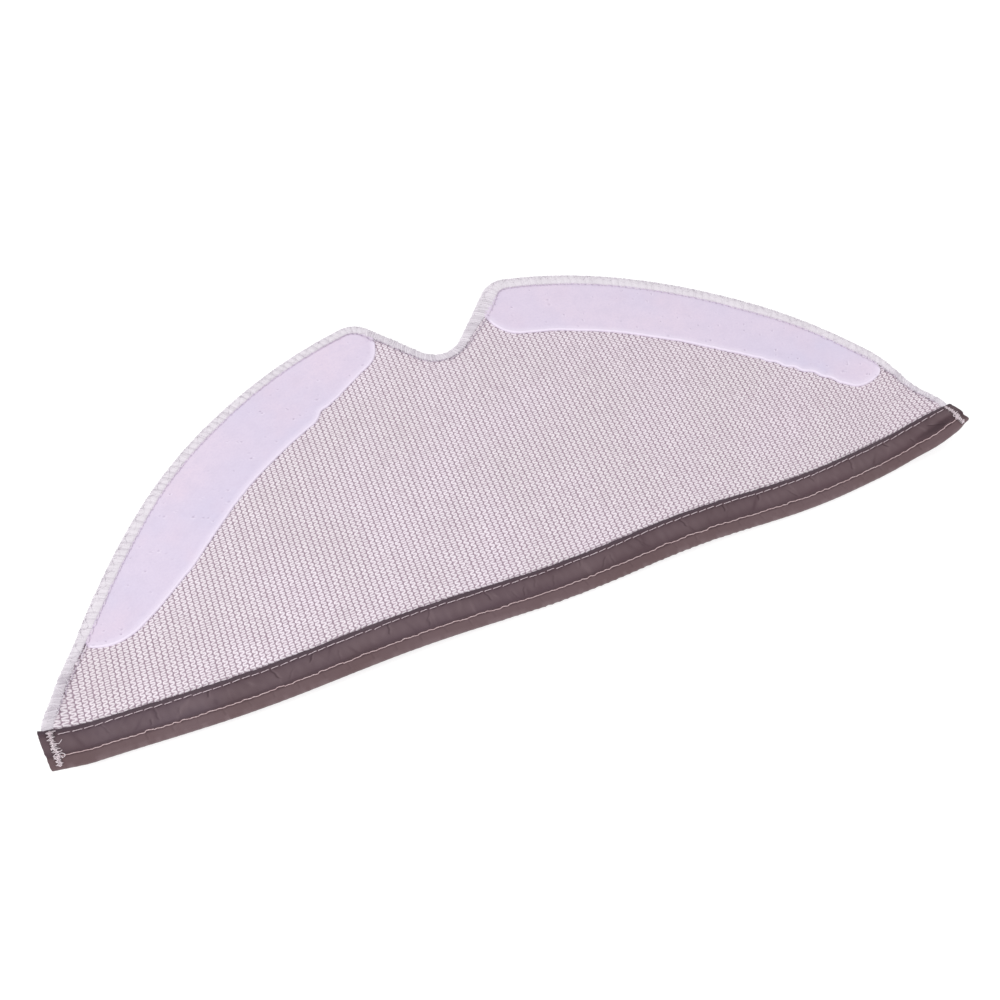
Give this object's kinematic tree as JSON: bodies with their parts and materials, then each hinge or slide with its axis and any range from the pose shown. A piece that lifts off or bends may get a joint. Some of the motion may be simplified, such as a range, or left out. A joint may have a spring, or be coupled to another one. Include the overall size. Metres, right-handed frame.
{
  "type": "robot vacuum mop cloth",
  "caption": "Half-moon knitted mop cloth with curved loop-tape strips on its robot side, a notched overlocked edge and a stiffened binding on its straight edge.",
  "frame": {"origin": "centre of the bounding box's bottom face: the middle of the pad on the floor side", "axes": "+X along the straight edge, +Y from the binding towards the notch, +Z from the floor side (pile) to the robot side (loop strips)"},
  "size_m": [0.29, 0.1142, 0.0047],
  "materials": {
    "knit_yarn": "matte knitted yarn",
    "microfibre_pile": "soft cut pile",
    "loop_tape": "fine brushed loops",
    "overlock_thread": "satin thread",
    "binding_tape": "close-woven satin tape",
    "white_thread": "satin thread",
    "cream_thread": "satin thread",
    "stiffener_plastic": "smooth translucent sheet"
  },
  "bodies": {
    "binding": {"binding_tape": "binding_tape", "cloth_hem": "knit_yarn", "stiffener_strip": "stiffener_plastic", "inner_seam_needle_thread": "white_thread", "inner_seam_bobbin_thread": "white_thread", "outer_seam_needle_thread": "cream_thread", "outer_seam_bobbin_thread": "cream_thread", "bartack_left_needle_thread": "white_thread", "bartack_left_bobbin_thread": "white_thread", "bartack_right_needle_thread": "white_thread", "bartack_right_bobbin_thread": "white_thread"},
    "cloth": {"knit_backing": "knit_yarn", "microfibre_pile": "microfibre_pile", "loop_strip_left": "loop_tape", "loop_strip_right": "loop_tape", "overlock_upper_looper_thread": "overlock_thread", "overlock_lower_looper_thread": "overlock_thread", "overlock_needle_thread": "overlock_thread"}
  },
  "joints": [
    {"name": "cloth_flex", "type": "hinge", "parent": "binding", "child": "cloth", "pos_m": [0, -0.04469, 0.00165], "axis": [1, 0, 0], "range_deg": [-90, 90]}
  ]
}
